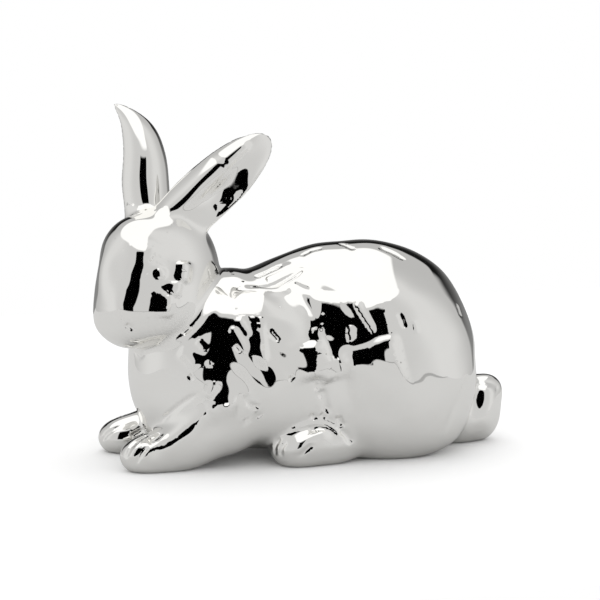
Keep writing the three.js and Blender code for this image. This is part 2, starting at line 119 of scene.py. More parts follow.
LIMB_MELT, HEAD_MELT, EYE_MELT = 1.5, 2.0, 0.5


def torso_field():
    """Barrel, loins, rump, flanks, chest, belly and neck, with haunches and shoulders."""
    parts = [
        ellipsoid([RUMP_X - 3, 0, 44], [35, RUMP_HALF_WIDTH, BACK_TOP - 44.5]),
        ellipsoid([RUMP_X - 25, 0, 46], [23.5, 21, BACK_TOP - 49.2]),
        ellipsoid([RUMP_X + 6.5, 0, 31.5], [26.5, RUMP_HALF_WIDTH - 1, 27]),
        ellipsoid([-12, 0, 37], [26, 19.5, 28.5]),
        ellipsoid([CHEST_X, 0, 38], [22.5, CHEST_HALF_WIDTH, 27]),
        ellipsoid([CHEST_X - 4, 0, 27], [16.5, CHEST_HALF_WIDTH - 3, 22]),
        ellipsoid([2, 0, BELLY_BOTTOM + 13.8], [54, 21.5, 12]),
        ellipsoid([CHEST_X - 4, -1, NECK_TOP - 14], [16, 15, 13]),
    ]
    for side in (LEFT, RIGHT):
        parts += [
            ellipsoid([RUMP_X + 3, side * (RUMP_HALF_WIDTH - 8.2), 32], [25, 14.5, 29], 15),
            ellipsoid([RUMP_X - 1, side * (RUMP_HALF_WIDTH - 11), 11.2], [26, 9.5, 10.3]),
            ellipsoid([CHEST_X + 4, side * (CHEST_HALF_WIDTH - 3.8), 36], [6, 8, 19], -12),
            ellipsoid([-15.5, side * 18.8, 34], [13, 9.5, 21]),
        ]
    melted = lumps(parts, BODY_MELT)
    return lambda points: melted(points) + BODY_TRIM


def foreleg_field(side):
    """One bent foreleg, from the upper arm to the paw."""
    paw_y = side * PAW_SPREAD + PAW_SHIFT
    paw_x = PAW_X - (PAW_LEAD if side == RIGHT else 0)
    arm_x = PAW_X + 32.5
    return lumps([
        ellipsoid([arm_x, side * (PAW_SPREAD + 2.9), 22], [12, PAW_HALF_WIDTH + 0.8, 17], -20),
        ellipsoid([arm_x - 12, side * (PAW_SPREAD + 2.0), 12.5], [18, PAW_HALF_WIDTH + 1, 10], 24),
        ellipsoid([paw_x + 8.5, paw_y + side * 0.5, 6.5], [14, PAW_HALF_WIDTH + 0.2, 7.8], 8),
        ellipsoid([paw_x, paw_y, 6.6 - FLAT_DEPTH], [9.2, PAW_HALF_WIDTH, 6.6]),
    ], LIMB_MELT)


def hind_foot_field(side):
    """One hind foot, most of it under the haunch."""
    foot_y = side * FOOT_SPREAD
    toe_x = FOOT_X + 7.5 - FOOT_HALF_LENGTH
    return lumps([
        ellipsoid([FOOT_X, foot_y, 9 - FLAT_DEPTH], [FOOT_HALF_LENGTH, FOOT_HALF_WIDTH, 9]),
        ellipsoid([toe_x, foot_y + side * 0.5, 7.8 - FLAT_DEPTH], [10, FOOT_HALF_WIDTH - 0.3, 7.8]),
    ], LIMB_MELT)


def tail_field():
    """The short tail, turned up behind the rump."""
    tip = TAIL_X + TAIL_LENGTH
    return lumps([
        ellipsoid([TAIL_X, 0, 10 - FLAT_DEPTH], [13, 9.5, 10]),
        ellipsoid([tip - 9, 0, 11], [8, 7.2, 11]),
        ellipsoid([tip - 11.5, 0, 15.5], [8.5, 6, 8.6]),
        ellipsoid([tip - 6.2, 0, 18.3], [5.4, 4.6, 6]),
    ], LIMB_MELT)


def head_field():
    """Skull, brow, nose bridge, muzzle, chin, cheeks and eyes."""
    parts = [
        ellipsoid([-3, 0, 3], [20, SKULL_HALF_WIDTH, SKULL_HALF_HEIGHT]),
        ellipsoid([MUZZLE_REACH - 9.5, 0, -10], [9.5, 8.5, 9.5]),
        ellipsoid([9, 0, 10.2], [13, 11.5, 12]),
        ellipsoid([15.8, 0, -1], [10, 6.6, 14], -14),
        ellipsoid([11.2, 0, -17.6], [9.6, 8, 6]),
    ]
    for side in (LEFT, RIGHT):
        parts += [
            ellipsoid([2, side * 9, -4.5], [12.5, 10.2, 14.5]),
            ellipsoid([12, side * 6.2, -5], [8.5, 7.3, 11]),
            ellipsoid([3, side * 8.5, -10.5], [12.5, 9.5, 11]),
            ellipsoid([14, side * 5, -14], [9.5, 6, 6.5]),
        ]
    eyes = [ellipsoid([EYE[0], side * EYE[1], EYE[2]], [EYE_RADIUS] * 3) for side in (LEFT, RIGHT)]
    melted = lumps([lumps(parts, HEAD_MELT), *eyes], EYE_MELT)
    return lambda points: melted(to_head(points))


class Ear:
    """The sizes of one ear, in the head's directions."""

    def __init__(self, root, axis, face, length, half_width, hook, lean, bend, section):
        self.root, self.length, self.half_width = np.array(root), length, half_width
        self.hook, self.lean, self.bend, self.section = hook, lean, bend, section
        self.along = np.array(axis) / np.linalg.norm(axis)
        facing = np.array(face, float) - self.along * np.dot(face, self.along)
        self.facing = facing / np.linalg.norm(facing)
        self.across = np.cross(self.facing, self.along)
        self.half = np.array([length * EAR_HALF_SHARE, half_width, EAR_HALF_THICKNESS])

    def __call__(self, points):
        """An ellipsoid in bent coordinates: the tip hooks sideways and leans back, and section shapes it."""
        offset = to_head(points) - self.root
        height = offset @ self.along
        share = height / self.length
        late = np.clip((share - 0.5) / 0.5, 0, None)
        flat = offset @ self.across - self.hook * late ** 3.5
        thick = offset @ self.facing + self.lean * np.clip(share, 0, 1.2) ** 2
        thick += self.bend * np.logaddexp(0, (share - BEND_SHARE) / BEND_SOFTNESS) * BEND_SOFTNESS
        thick -= self.section(flat, np.clip(share, 0, 1.1))
        straight = np.stack([height - self.length * (1 - EAR_HALF_SHARE), flat, thick], 1) / self.half
        near = np.sqrt((straight ** 2).sum(1) + 1e-12)
        slope = np.sqrt(((straight / self.half) ** 2).sum(1) + 1e-12)
        return near * (near - 1) / slope


def bell(offset, width):
    """exp(-(offset / width)^2)"""
    return np.exp(-(offset / width) ** 2)


def open_ear(flat, share):
    """A broad rolled front edge, then a hollow that rises again to the back edge."""
    roll = 3.4 * bell(flat - 4.4, 4.8)
    hollow = 3.2 * np.exp(-((flat + 4.8) / 4.6) ** 4) * bell(share - 0.44, 0.2)
    return roll * (1 - 0.3 * share) - hollow - 1.0


def closed_ear(flat, share):
    """Arched all across, and falling away at the back edge."""
    return 1.6 - (flat / 5.6) ** 2 - 1.2 * bell(flat + 9, 3)


EAR_HALF_SHARE, BEND_SHARE, BEND_SOFTNESS = 0.68, 0.55, 0.03
LEFT_EAR = Ear(root=[-4.1, 4.8, 19.8], axis=[-0.56, 0.50, 0.69], face=[0.66, 0.7, 0.25],
               length=44.5, half_width=9.9, hook=0, lean=3, bend=5.0, section=open_ear)
RIGHT_EAR = Ear(root=[-3.5, -9.0, 17], axis=[-0.15, -0.21, 0.96], face=[0.49, 0.87, 0.3],
                length=45.5, half_width=8.6, hook=9, lean=6, bend=5.0, section=closed_ear)


FIELDS = {
    "torso": torso_field(),
    "foreleg_left": foreleg_field(LEFT),
    "foreleg_right": foreleg_field(RIGHT),
    "hind_foot_left": hind_foot_field(LEFT),
    "hind_foot_right": hind_foot_field(RIGHT),
    "tail": tail_field(),
    "head": head_field(),
    "ear_left": LEFT_EAR,
    "ear_right": RIGHT_EAR,
}


def pocket(points):
    """The stepped round hole of the drain plug, open downwards."""
    radius = np.hypot(points[:, 0] - PLUG_X, points[:, 1])
    seat = np.maximum(radius - PLUG_RADIUS, points[:, 2] - PLUG_SEAT)
    hole = np.maximum(radius - PLUG_RADIUS + PLUG_LEDGE, points[:, 2] - PLUG_HOLE_TOP)
    return np.minimum(seat, hole)


def every_field(points):
    """The distance to each casting, by name."""
    return {name: field(points) for name, field in FIELDS.items()}


# How far the metal melts together in the creases, and how round the cut edges are
LEG_CREASE, FOOT_CREASE, TAIL_CREASE, EAR_CREASE, NECK_CREASE = 1.6, 0.9, 1.2, 1.5, 0.9
POCKET_EDGE, GROUND_EDGE = 0.2, 0.25


def joined(points):
    """The whole figurine: the castings melted together in their creases, cut flat at Z = 0."""
    d = every_field(points)
    body = melt([d["torso"], d["foreleg_left"], d["foreleg_right"]], LEG_CREASE)
    body = melt([body, d["hind_foot_left"], d["hind_foot_right"]], FOOT_CREASE)
    body = melt([body, d["tail"]], TAIL_CREASE)
    head = melt([d["head"], d["ear_left"], d["ear_right"]], EAR_CREASE)
    whole = melt([body, head], NECK_CREASE)
    whole = carve(whole, pocket(points), POCKET_EDGE)
    return carve(whole, points[:, 2], GROUND_EDGE)


# Relief: ridges and grooves, each a path of picture positions that is laid on the skin,
# with a width and a height in millimetres. Of two widths, the first is for the side on the left
# of a path drawn downwards.

PICTURE_SIZE, PIXELS_PER_MM = 600, 2.75
VIEW_AZIMUTH, VIEW_ELEVATION = radians(-15), radians(10)
VIEW_DISTANCE, VIEW_HEIGHT = 900.0, 56.0
NEAR_GAP, TRACE_STEPS, TRACE_SHARE = 110.0, 60, 0.85
VIEW_BACK = np.array([sin(VIEW_AZIMUTH) * cos(VIEW_ELEVATION),
                      -cos(VIEW_AZIMUTH) * cos(VIEW_ELEVATION), sin(VIEW_ELEVATION)])
VIEW_RIGHT = np.array([cos(VIEW_AZIMUTH), sin(VIEW_AZIMUTH), 0.0])
VIEW_UP = np.cross(VIEW_BACK, VIEW_RIGHT)

NOSE_STROKES = [
    ("side of the nose", [(154, 240), (148, 256), (142, 267), (136, 277), (130, 290)], (5.0, 1.7), 0.5),
    ("side of the muzzle",
     [(151, 240), (144, 256), (136, 270), (130, 283), (125, 296), (120, 312), (117, 332)], (6.0, 7.0), 2.2),
]
FACE_STROKES = [
    ("brow edge", [(180, 210), (172, 226), (160, 244), (152, 266)], (8.0, 4.0), 0.6),
    ("eyelids",
     [(177, 255), (165, 252), (154, 257), (147, 267), (149, 277), (157, 284), (168, 284), (176, 279)],
     (5.0, 1.7), 0.25),
    ("outer corner", [(184, 260), (184, 271), (181, 284)], (2.2, 2.4), 2.0),
    ("under the eye", [(177, 280), (177, 288), (173, 297)], (3.4, 1.6), 1.2),
    ("cheek front", [(169, 292), (169, 305), (167, 320)], (4.2, 1.6), 1.15),
    ("cheek shelf", [(151, 295), (158, 293), (166, 296)], 0.9, 0.6),
    ("mouth corner", [(126, 323), (130, 327), (133, 331)], 0.8, -0.7),
    ("ruff", [(219, 290), (213, 308), (203, 324), (188, 336), (165, 344), (148, 346)], 2.0, 0.4),
    ("cheek dash", [(182, 334), (187, 331), (191, 327)], 0.8, -0.6),
]
EAR_STROKES = [
    ("fold", [(256, 142), (238, 160), (215, 185), (196, 205)], 0.8, -0.3),
    ("petal", [(213, 209), (223, 204), (234, 196)], 1.3, 0.6),
    ("ear top", [(223, 169), (236, 156), (252, 141)], (1.4, 5.0), 1.0),
]
BODY_STROKES = [
    ("chest curl", [(134, 350), (139, 357), (145, 352)], 0.8, -0.5),
    ("shoulder tuft 1", [(229, 326), (238, 338), (247, 356)], 1.6, 0.5),
    ("shoulder tuft 2", [(236, 318), (244, 328), (250, 338)], 1.3, 0.5),
    ("shoulder lock", [(262, 316), (261, 332), (263, 348), (262, 372)], (3.6, 1.6), 0.8),
    ("mantle swell", [(230, 262), (235, 295), (240, 345)], (6.0, 5.0), 0.8),
    ("mantle edge", [(259, 286), (263, 304), (262, 330)], (6.0, 7.0), 1.0),
    ("shoulder speck", [(254, 326), (257, 334)], 0.8, 0.4),
    ("shoulder nick 1", [(235, 345), (241, 353)], 0.7, -0.5),
    ("shoulder nick 2", [(267, 329), (273, 336), (279, 342)], 0.8, -0.6),
    ("neck tuft 1", [(196, 340), (201, 345), (205, 351)], 1.1, 0.5),
    ("neck tuft 2", [(178, 348), (190, 357), (199, 369)], 2.2, 0.7),
    ("neck speck", [(207, 360), (212, 367)], 0.8, 0.4),
    ("chest nick", [(189, 374), (192, 381)], 0.8, -0.5),
    ("arm tuft", [(214, 379), (213, 389), (206, 399)], 1.7, 0.7),
    ("arm swell", [(206, 412), (222, 405), (240, 405)], (4.2, 3.0), 1.1),
    ("forearm crest", [(216, 404), (203, 417), (186, 430), (168, 442), (150, 456)], (3.5, 4.0), 1.3),
    ("elbow crease", [(246, 393), (249, 404), (262, 408)], 0.9, -0.7),
    ("elbow hollow", [(251, 415), (255, 421)], 2.6, -1.2),
    ("flank lock 1", [(313, 338), (318, 358), (323, 380)], (7.5, 2.0), 2.0),
    ("flank lock 2", [(313, 327), (320, 341), (329, 361)], (2.2, 1.4), 0.8),
    ("haunch brow", [(326, 290), (323, 316), (320, 344)], (3.5, 8.0), 1.0),
    ("haunch lobe", [(322, 354), (321, 368), (326, 386)], (1.2, 7.0), 1.6),
    ("flank lobe", [(349, 324), (348, 334), (351, 343)], (0.6, 2.2), 0.7),
    ("flank streak", [(353, 299), (358, 310), (366, 322), (376, 337)], (0.6, 1.8), 0.8),
    ("flank tongue", [(338, 360), (354, 357), (371, 353), (388, 345), (404, 340)], (14.0, 3.4), 1.9),
    ("haunch edge", [(376, 294), (384, 314), (388, 336)], (3.0, 6.0), 0.6),
    ("haunch nick 1", [(398, 312), (402, 320), (405, 330)], 0.8, -0.5),
    ("haunch nick 2", [(414, 320), (417, 334)], 1.0, 0.3),
    ("belly nick 1", [(289, 377), (293, 380)], 0.8, -0.4),
    ("belly nick 2", [(316, 383), (317, 391)], 0.7, -0.4),
    ("haunch front", [(320, 388), (323, 396), (325, 404), (328, 417)], 1.5, -0.9),
    ("back tuft line", [(248, 291), (270, 287), (286, 279), (304, 268)], 1.0, -0.8),
    ("back tuft", [(262, 280), (278, 273), (296, 262)], 1.8, 0.5),
    ("back tuft 2", [(262, 298), (278, 293), (292, 288)], 1.2, 0.5),
    ("back nick 1", [(239, 288), (242, 296)], 0.9, -0.4),
    ("back nick 2", [(292, 282), (301, 287), (311, 291)], 0.9, -0.5),
    ("spine nick 1", [(252, 279), (268, 273), (284, 265)], 0.8, -0.5),
    ("spine nick 2", [(300, 256), (312, 250), (324, 248)], 0.8, -0.5),
    ("spine nick 3", [(339, 243), (347, 246), (355, 250)], 0.8, -0.5),
    ("spine nick 4", [(376, 246), (392, 252), (408, 261)], 1.1, -0.6),
    ("rump nick", [(457, 304), (461, 318)], 0.9, -0.4),
    ("tail crease", [(468, 374), (462, 392), (452, 415), (443, 438)], 1.4, -0.7),
    ("tail side", [(489, 382), (488, 404), (483, 434)], (5.0, 3.0), 1.5),
    ("tail tip", [(499, 384), (493, 394), (489, 403)], 0.8, -0.4),
    ("paw groove 1", [(125, 460), (131, 447), (140, 439), (150, 434)], 0.8, -0.8),
    ("paw groove 2", [(135, 466), (141, 455), (149, 446)], 0.7, -0.6),
    ("toe 1", [(129, 461), (136, 449), (145, 440)], 1.1, 0.4),
    ("toe 2", [(141, 464), (149, 451), (160, 444), (170, 434)], (1.2, 1.4), 0.6),
    ("wrist hollow", [(147, 441), (156, 438), (164, 432)], 1.4, -0.5),
    ("forearm nick 1", [(187, 428), (198, 420)], 1.0, 0.6),
    ("forearm inner crease", [(202, 391), (184, 402), (170, 413), (162, 421)], 0.9, -0.5),
    ("foot arc", [(281, 436), (298, 427), (318, 423), (334, 429), (348, 443)], 0.9, 0.5),
    ("foot ridge", [(293, 456), (303, 443), (317, 436), (334, 434)], (2.4, 1.6), 0.8),
    ("foot leaf", [(298, 458), (305, 451), (314, 443)], 0.9, -0.6),
    ("foot top nick", [(308, 430), (317, 430)], 0.8, -0.5),
    ("foot groove 1", [(281, 437), (275, 447), (276, 457)], 0.8, -0.7),
    ("foot groove 2", [(287, 440), (281, 449), (282, 459)], 0.8, -0.7),
    ("heel crease", [(339, 431), (346, 435), (352, 445)], 1.1, -0.8),
    ("hem nick 1", [(310, 414), (316, 419)], 0.8, -0.5),
    ("hem nick 2", [(321, 413), (326, 419)], 0.8, -0.5),
    ("heel nick", [(337, 416), (343, 427)], 1.0, -0.8),
]
FAR_STROKES = [
    ("far paw groove 1", [(101, 443), (108, 433), (124, 424)], 0.8, -0.7),
    ("far paw groove 2", [(130, 437), (144, 429)], 0.8, -0.7),
]


def onto_skin(pixels):
    """The points of the skin that lie behind places of the picture, by steps of the field's distance."""
    place = np.array(pixels, float) - PICTURE_SIZE / 2
    ray = -VIEW_BACK * VIEW_DISTANCE * PIXELS_PER_MM
    ray = ray + VIEW_RIGHT * place[:, :1] - VIEW_UP * place[:, 1:]
    ray /= np.linalg.norm(ray, axis=1)[:, None]
    points = np.array([0, 0, VIEW_HEIGHT]) + VIEW_BACK * VIEW_DISTANCE + ray * (VIEW_DISTANCE - NEAR_GAP)
    for _ in range(TRACE_STEPS):
        points = points + ray * np.clip(joined(points) * TRACE_SHARE, -3, 10)[:, None]
    return points


def flowing(points, count):
    """A smooth line of count points through the given ones: each span is a Catmull-Rom cubic."""
    points = np.array(points, float)
    padded = np.concatenate([2 * points[:1] - points[1:2], points, 2 * points[-1:] - points[-2:-1]])
    share = np.linspace(0, len(points) - 1, count)
    span = np.minimum(share.astype(int), len(points) - 2)
    t = (share - span)[:, None]
    a, b, c, d = (padded[span + i] for i in range(4))
    bend = (2 * a - 5 * b + 4 * c - d) * t ** 2
    return 0.5 * (2 * b + (c - a) * t + bend + (3 * b - a - 3 * c + d) * t ** 3)


# Each list with what it is mirrored in, and the share of its height that the mirror image gets
STROKE_LISTS = ((NOSE_STROKES, "head", 0.2), (FACE_STROKES, "head", 1), (BODY_STROKES, "body", 1),
                (EAR_STROKES, None, 0), (FAR_STROKES, None, 0))


def laid_strokes():
    """Every stroke as (path, sideways, widths, height): the drawn side, and its mirror image."""
    laid = []
    for strokes, mirror, share in STROKE_LISTS:
        for _, pixels, width, height in strokes:
            path = onto_skin(flowing(pixels, 5 + 2 * len(pixels)))
            sideways = np.cross(np.diff(path, axis=0), VIEW_BACK)
            widths = width if isinstance(width, tuple) else (width, width)
            laid.append((path, sideways, widths, height))
            if mirror == "head":
                other = to_head(path) * MIRROR @ HEAD_AXES + HEAD_CENTRE
                laid.append((other, sideways @ HEAD_AXES.T * MIRROR @ HEAD_AXES, widths, height * share))
            elif mirror == "body":
                laid.append((path * MIRROR, sideways * MIRROR, widths, height))
    return laid


STROKES = laid_strokes()
STROKE_REACH = 2.4  # in widths, how far to the side a stroke is worked out


def relief(points):
    """The height of the strokes: each is a bell across its path, with tapered ends."""
    total = np.zeros(len(points))
    for path, sideways, widths, height in STROKES:
        reach = STROKE_REACH * max(widths)
        boxed = (points > path.min(0) - reach) & (points < path.max(0) + reach)
        near = np.nonzero(boxed.all(1))[0]
        if not len(near):
            continue
        start, leg = path[:-1], path[1:] - path[:-1]
        offset = points[near][:, None] - start
        along = np.clip((offset * leg).sum(2) / (leg ** 2).sum(1), 0, 1)
        gap = ((offset - along[:, :, None] * leg) ** 2).sum(2)
        closest = gap.argmin(1)
        row = np.arange(len(near))
        share = (closest + along[row, closest]) / len(leg)
        taper = np.clip(4 * np.minimum(share, 1 - share), 0, 1)
        beside = offset[row, closest] - along[row, closest][:, None] * leg[closest]
        width = np.where((beside * sideways[closest]).sum(1) > 0, *widths)
        total[near] += height * np.exp(-gap[row, closest] / width ** 2) * taper ** 2 * (3 - 2 * taper)
    return total


def waves(count, shortest, longest, lean, spread, seed):
    """Wave vectors and phases: their crests run lean degrees below +X in side view, give or take spread."""
    dice = np.random.default_rng(seed)
    length = dice.uniform(shortest, longest, count)
    turn = np.radians(lean + 90 + dice.uniform(-spread, spread, count))
    depth = dice.uniform(-0.5, 0.5, count)
    vectors = np.stack([np.cos(turn), depth, -np.sin(turn)], 1)
    vectors *= (2 * pi / length / np.linalg.norm(vectors, axis=1))[:, None]
    return vectors, dice.uniform(0, 2 * pi, count)


HAND_WAVES = waves(12, 13.0, 26.0, 0.0, 180.0, 3)
FUR_WAVES = waves(10, 6.0, 10.0, 52.0, 14.0, 8)
PATCH_WAVES = waves(6, 22.0, 34.0, 0.0, 180.0, 5)


def wave_sum(points, bundle):
    """The sum of the sines of one bundle, made to about unit size."""
    vectors, phases = bundle
    return np.sin(points @ vectors.T + phases).sum(1) / np.sqrt(len(phases) / 2)


HAND_HEIGHT, FUR_HEIGHT = 0.13, 0.10
HEAD_CALM_RADIUS, FUR_X, FUR_HALF_LENGTH, FUR_MIDDLE, FUR_HALF_HEIGHT = 26, -8, 26, 42, 22
CALM_TO, MARKED_FROM = 6, 18  # heights between which the marks fade in


def hand_marks(points):
    """The unevenness of hand modelling all over, and combed fur on the shoulders and flanks."""
    side = points * [1, 0, 1] + np.abs(points[:, 1:2]) * [0, -1, 0]
    on_head = bell(np.clip(np.linalg.norm(points - HEAD_CENTRE, axis=1) - HEAD_CALM_RADIUS, 0, None), 5)
    above = np.clip((points[:, 2] - CALM_TO) / (MARKED_FROM - CALM_TO), 0, 1)
    furry = bell(np.clip(np.abs(points[:, 0] - FUR_X) - FUR_HALF_LENGTH, 0, None), 9)
    furry = furry * bell(points[:, 2] - FUR_MIDDLE, FUR_HALF_HEIGHT)
    patches = np.clip(0.5 + wave_sum(side, PATCH_WAVES) * 0.5, 0, 1)
    dents = HAND_HEIGHT * wave_sum(side, HAND_WAVES) * (1 - 0.7 * on_head)
    fur = FUR_HEIGHT * wave_sum(side, FUR_WAVES) * furry * patches * (1 - on_head)
    return (dents + fur) * above


def dressed(points):
    """The figurine's skin with its relief."""
    return joined(points) - relief(points) - hand_marks(points)


# Meshes from fields

def slope_of(field, points, nudge=0.03):
    """Central differences of the field along X, Y and Z."""
    steps = np.eye(3) * nudge
    return np.stack([field(points + step) - field(points - step) for step in steps], 1) / (2 * nudge)


def settle(points, field, rounds):
    """Newton's steps along the slope onto the zero level."""
    for _ in range(rounds):
        slope = slope_of(field, points)
        points = points - slope * (field(points) / np.maximum((slope ** 2).sum(1), 1e-6))[:, None]
    return points


COARSE, NEAR_STEPS = 4, 2.2


def sample(field, low, high, step):
    """The field on a grid: exact near its zero level, and only its sign elsewhere."""
    counts = np.ceil((np.array(high) - low) / step).astype(int) + 1
    ticks = [low[axis] + step * np.arange(counts[axis]) for axis in range(3)]
    grid = np.stack(np.meshgrid(*ticks, indexing="ij"), -1)
    rough = grid[::COARSE, ::COARSE, ::COARSE]
    value = field(rough.reshape(-1, 3)).reshape(rough.shape[:3])
    for axis in range(3):
        value = np.repeat(value, COARSE, axis)
    value = value[:counts[0], :counts[1], :counts[2]]
    near = np.abs(value) < NEAR_STEPS * COARSE * step
    value = np.sign(value) * 1e3
    value[near] = field(grid[near])
    return value


def surface_net(value, low, step):
    """One vertex in each cell that the zero level crosses, one quad round each crossed grid edge."""
    inside = value < 0
    shape = np.array(value.shape)
    corners = [(i, j, k) for i in (0, 1) for j in (0, 1) for k in (0, 1)]
    count = sum(inside[i:shape[0] - 1 + i, j:shape[1] - 1 + j, k:shape[2] - 1 + k].astype(int)
                for i, j, k in corners)
    crossed = (count > 0) & (count < 8)
    cells = np.stack(np.nonzero(crossed), 1)
    number = np.full(crossed.shape, -1)
    number[crossed] = np.arange(len(cells))
    total = np.zeros((len(cells), 3))
    hits = np.zeros(len(cells))
    for corner in corners:
        for axis in range(3):
            if corner[axis]:
                continue
            start = value[tuple((cells + corner).T)]
            end = value[tuple((cells + corner + np.eye(3, dtype=int)[axis]).T)]
            hit = (start < 0) != (end < 0)
            share = np.where(hit, start / np.where(hit, start - end, 1), 0)
            total += hit[:, None] * (np.array(corner) + np.eye(3)[axis] * share[:, None])
            hits += hit
    vertices = low + step * (cells + total / hits[:, None])
    quads = []
    for axis in range(3):
        second, third = (axis + 1) % 3, (axis + 2) % 3
        unit = np.eye(3, dtype=int)
        upper = [slice(None)] * 3
        lower = [slice(None)] * 3
        upper[axis], lower[axis] = slice(1, None), slice(0, -1)
        change = inside[tuple(lower)] != inside[tuple(upper)]
        edge = np.stack(np.nonzero(change), 1)
        edge = edge[(edge[:, second] > 0) & (edge[:, third] > 0)]
        edge = edge[(edge[:, second] < shape[second] - 1) & (edge[:, third] < shape[third] - 1)]
        ring = [unit[second] + unit[third], unit[third], 0 * unit[axis], unit[second]]
        quad = np.stack([number[tuple((edge - back).T)] for back in ring], 1)
        outward = inside[tuple(edge.T)]
        quads.append(np.where(outward[:, None], quad, quad[:, ::-1]))
    return vertices, np.concatenate(quads)


def triangles_of(quads, vertices):
    """Each quad cut along its shorter diagonal."""
    first = np.linalg.norm(vertices[quads[:, 0]] - vertices[quads[:, 2]], axis=1)
    second = np.linalg.norm(vertices[quads[:, 1]] - vertices[quads[:, 3]], axis=1)
    turned = np.where((first < second)[:, None], quads, np.roll(quads, -1, 1))
    return np.concatenate([turned[:, [0, 1, 2]], turned[:, [0, 2, 3]]])


def clip(vertices, normals, triangles, value):
    """The part of a mesh where value is negative, cut along the straight zero line of each face."""
    inside = value < 0
    amount = inside[triangles].sum(1)
    kept = [triangles[amount == 3]]
    cuts, pairs = [], []
    start_number = len(vertices)

    def noted(a, b):
        """Keeps the edges a-b, which cross the zero line, and gives their place in pairs."""
        pairs.append(np.stack([np.minimum(a, b), np.maximum(a, b)], 1))
        return len(pairs) - 1

    for lone_inside in (True, False):
        chosen = triangles[amount == (1 if lone_inside else 2)]
        if not len(chosen):
            continue
        lone = np.argmax(inside[chosen] == lone_inside, 1)
        rolled = np.stack([chosen[np.arange(len(chosen)), (lone + turn) % 3] for turn in range(3)], 1)
        places = [noted(rolled[:, 0], rolled[:, other]) for other in (1, 2)]
        cuts.append((lone_inside, rolled, *places))
    if pairs:
        all_pairs, place = np.unique(np.concatenate(pairs), axis=0, return_inverse=True)
        place = place.reshape(-1)
        a, b = all_pairs[:, 0], all_pairs[:, 1]
        share = (value[a] / (value[a] - value[b]))[:, None]
        made_vertices = vertices[a] + share * (vertices[b] - vertices[a])
        made_normals = normals[a] + share * (normals[b] - normals[a])
        made_normals /= np.linalg.norm(made_normals, axis=1)[:, None]
        ends = np.cumsum([0] + [len(pair) for pair in pairs])
        for lone_inside, rolled, one, two in cuts:
            first = start_number + place[ends[one]:ends[one + 1]]
            second = start_number + place[ends[two]:ends[two + 1]]
            if lone_inside:
                kept.append(np.stack([rolled[:, 0], first, second], 1))
            else:
                kept.append(np.stack([first, rolled[:, 1], rolled[:, 2]], 1))
                kept.append(np.stack([first, rolled[:, 2], second], 1))
        vertices = np.concatenate([vertices, made_vertices])
        normals = np.concatenate([normals, made_normals])
    return vertices, normals, np.concatenate(kept)


def compact(vertices, normals, triangles):
    """The mesh without the vertices that no face uses."""
    used, renumbered = np.unique(triangles, return_inverse=True)
    return vertices[used], normals[used], renumbered.reshape(-1, 3)


def with_wall(vertices, normals, triangles, wall):
    """The open skin made a closed shell: an inner copy, then a strip along the open edges, and its length."""
    count = len(vertices)
    edges = triangles[:, [0, 1, 1, 2, 2, 0]].reshape(-1, 2)
    forward = edges[:, 0] * count + edges[:, 1]
    backward = edges[:, 1] * count + edges[:, 0]
    rim = edges[~np.isin(forward, backward)]
    inner = triangles[:, ::-1] + count
    strip = np.concatenate([np.stack([rim[:, 1], rim[:, 0], rim[:, 0] + count], 1),
                            np.stack([rim[:, 1], rim[:, 0] + count, rim[:, 1] + count], 1)])
    shell = np.concatenate([vertices, vertices - normals * wall])
    shell_normals = np.concatenate([normals, -normals])
    return shell, shell_normals, np.concatenate([triangles, inner, strip]), len(strip)


def add_piece(name, vertices, normals, triangles, material):
    """A mesh object from arrays in millimetres, smooth shaded with the field's own normals."""
    shell, shell_normals, faces, rim_count = with_wall(vertices, normals, triangles, WALL)
    mesh = bpy.data.meshes.new(name)
    place = shell * MM + ORIGIN
    mesh.from_pydata(place.tolist(), [], faces.tolist())
    rim = slice(len(faces) - rim_count, len(faces))
    smooth = np.ones(len(faces), bool)
    smooth[rim] = False
    mesh.polygons.foreach_set("use_smooth", smooth)
    mesh.materials.append(material)
    corner_normals = shell_normals[faces.reshape(-1)].reshape(-1, 3, 3)
    corners = shell[faces[rim]]
    flat = np.cross(corners[:, 1] - corners[:, 0], corners[:, 2] - corners[:, 0])
    corner_normals[rim] = (flat / np.maximum(np.linalg.norm(flat, axis=1), 1e-12)[:, None])[:, None, :]
    mesh.normals_split_custom_set(corner_normals.reshape(-1, 3).tolist())
    mesh.update()
    piece = bpy.data.objects.new(name, mesh)
    bpy.context.scene.collection.objects.link(piece)
    return piece


# Shader maths

class Wire:
    """A value on its way between nodes: + - * / add Math nodes, node() adds any other."""

    def __init__(self, tree, socket):
        self.tree, self.socket = tree, socket

    def maths(self, operation, *others):
        return node(self.tree, "ShaderNodeMath", {"operation": operation}, self, *others)

    def __add__(self, other):
        return self.maths("ADD", other)

    def __sub__(self, other):
        return self.maths("SUBTRACT", other)

    def __mul__(self, other):
        return self.maths("MULTIPLY", other)

    def __truediv__(self, other):
        return self.maths("DIVIDE", other)

    def __rsub__(self, other):
        return self * -1 + other

    __radd__, __rmul__ = __add__, __mul__

    def rise(self, start, end):
        """0 before start and 1 after end, in a smooth step; falls where end is less."""
        settings = {"interpolation_type": "SMOOTHSTEP"}
        if end < start:
            return 1 - self.rise(end, start)
        return node(self.tree, "ShaderNodeMapRange", settings, self, start, end, 0.0, 1.0)


def node(tree, kind, settings=None, *values, output=0, **named):
    """Adds a node: settings first, then its inputs in order or by name; gives one output as a Wire."""
    made = tree.nodes.new(kind)
    for key, value in (settings or {}).items():
        setattr(made, key, value)
    inputs = list(zip([s for s in made.inputs if s.enabled], values))
    inputs += [(made.inputs[key.replace("_", " ")], value) for key, value in named.items()]
    for socket, value in inputs:
        if isinstance(value, Wire):
            tree.links.new(value.socket, socket)
        else:
            socket.default_value = value
    return Wire(tree, made.outputs[output]) if made.outputs else None


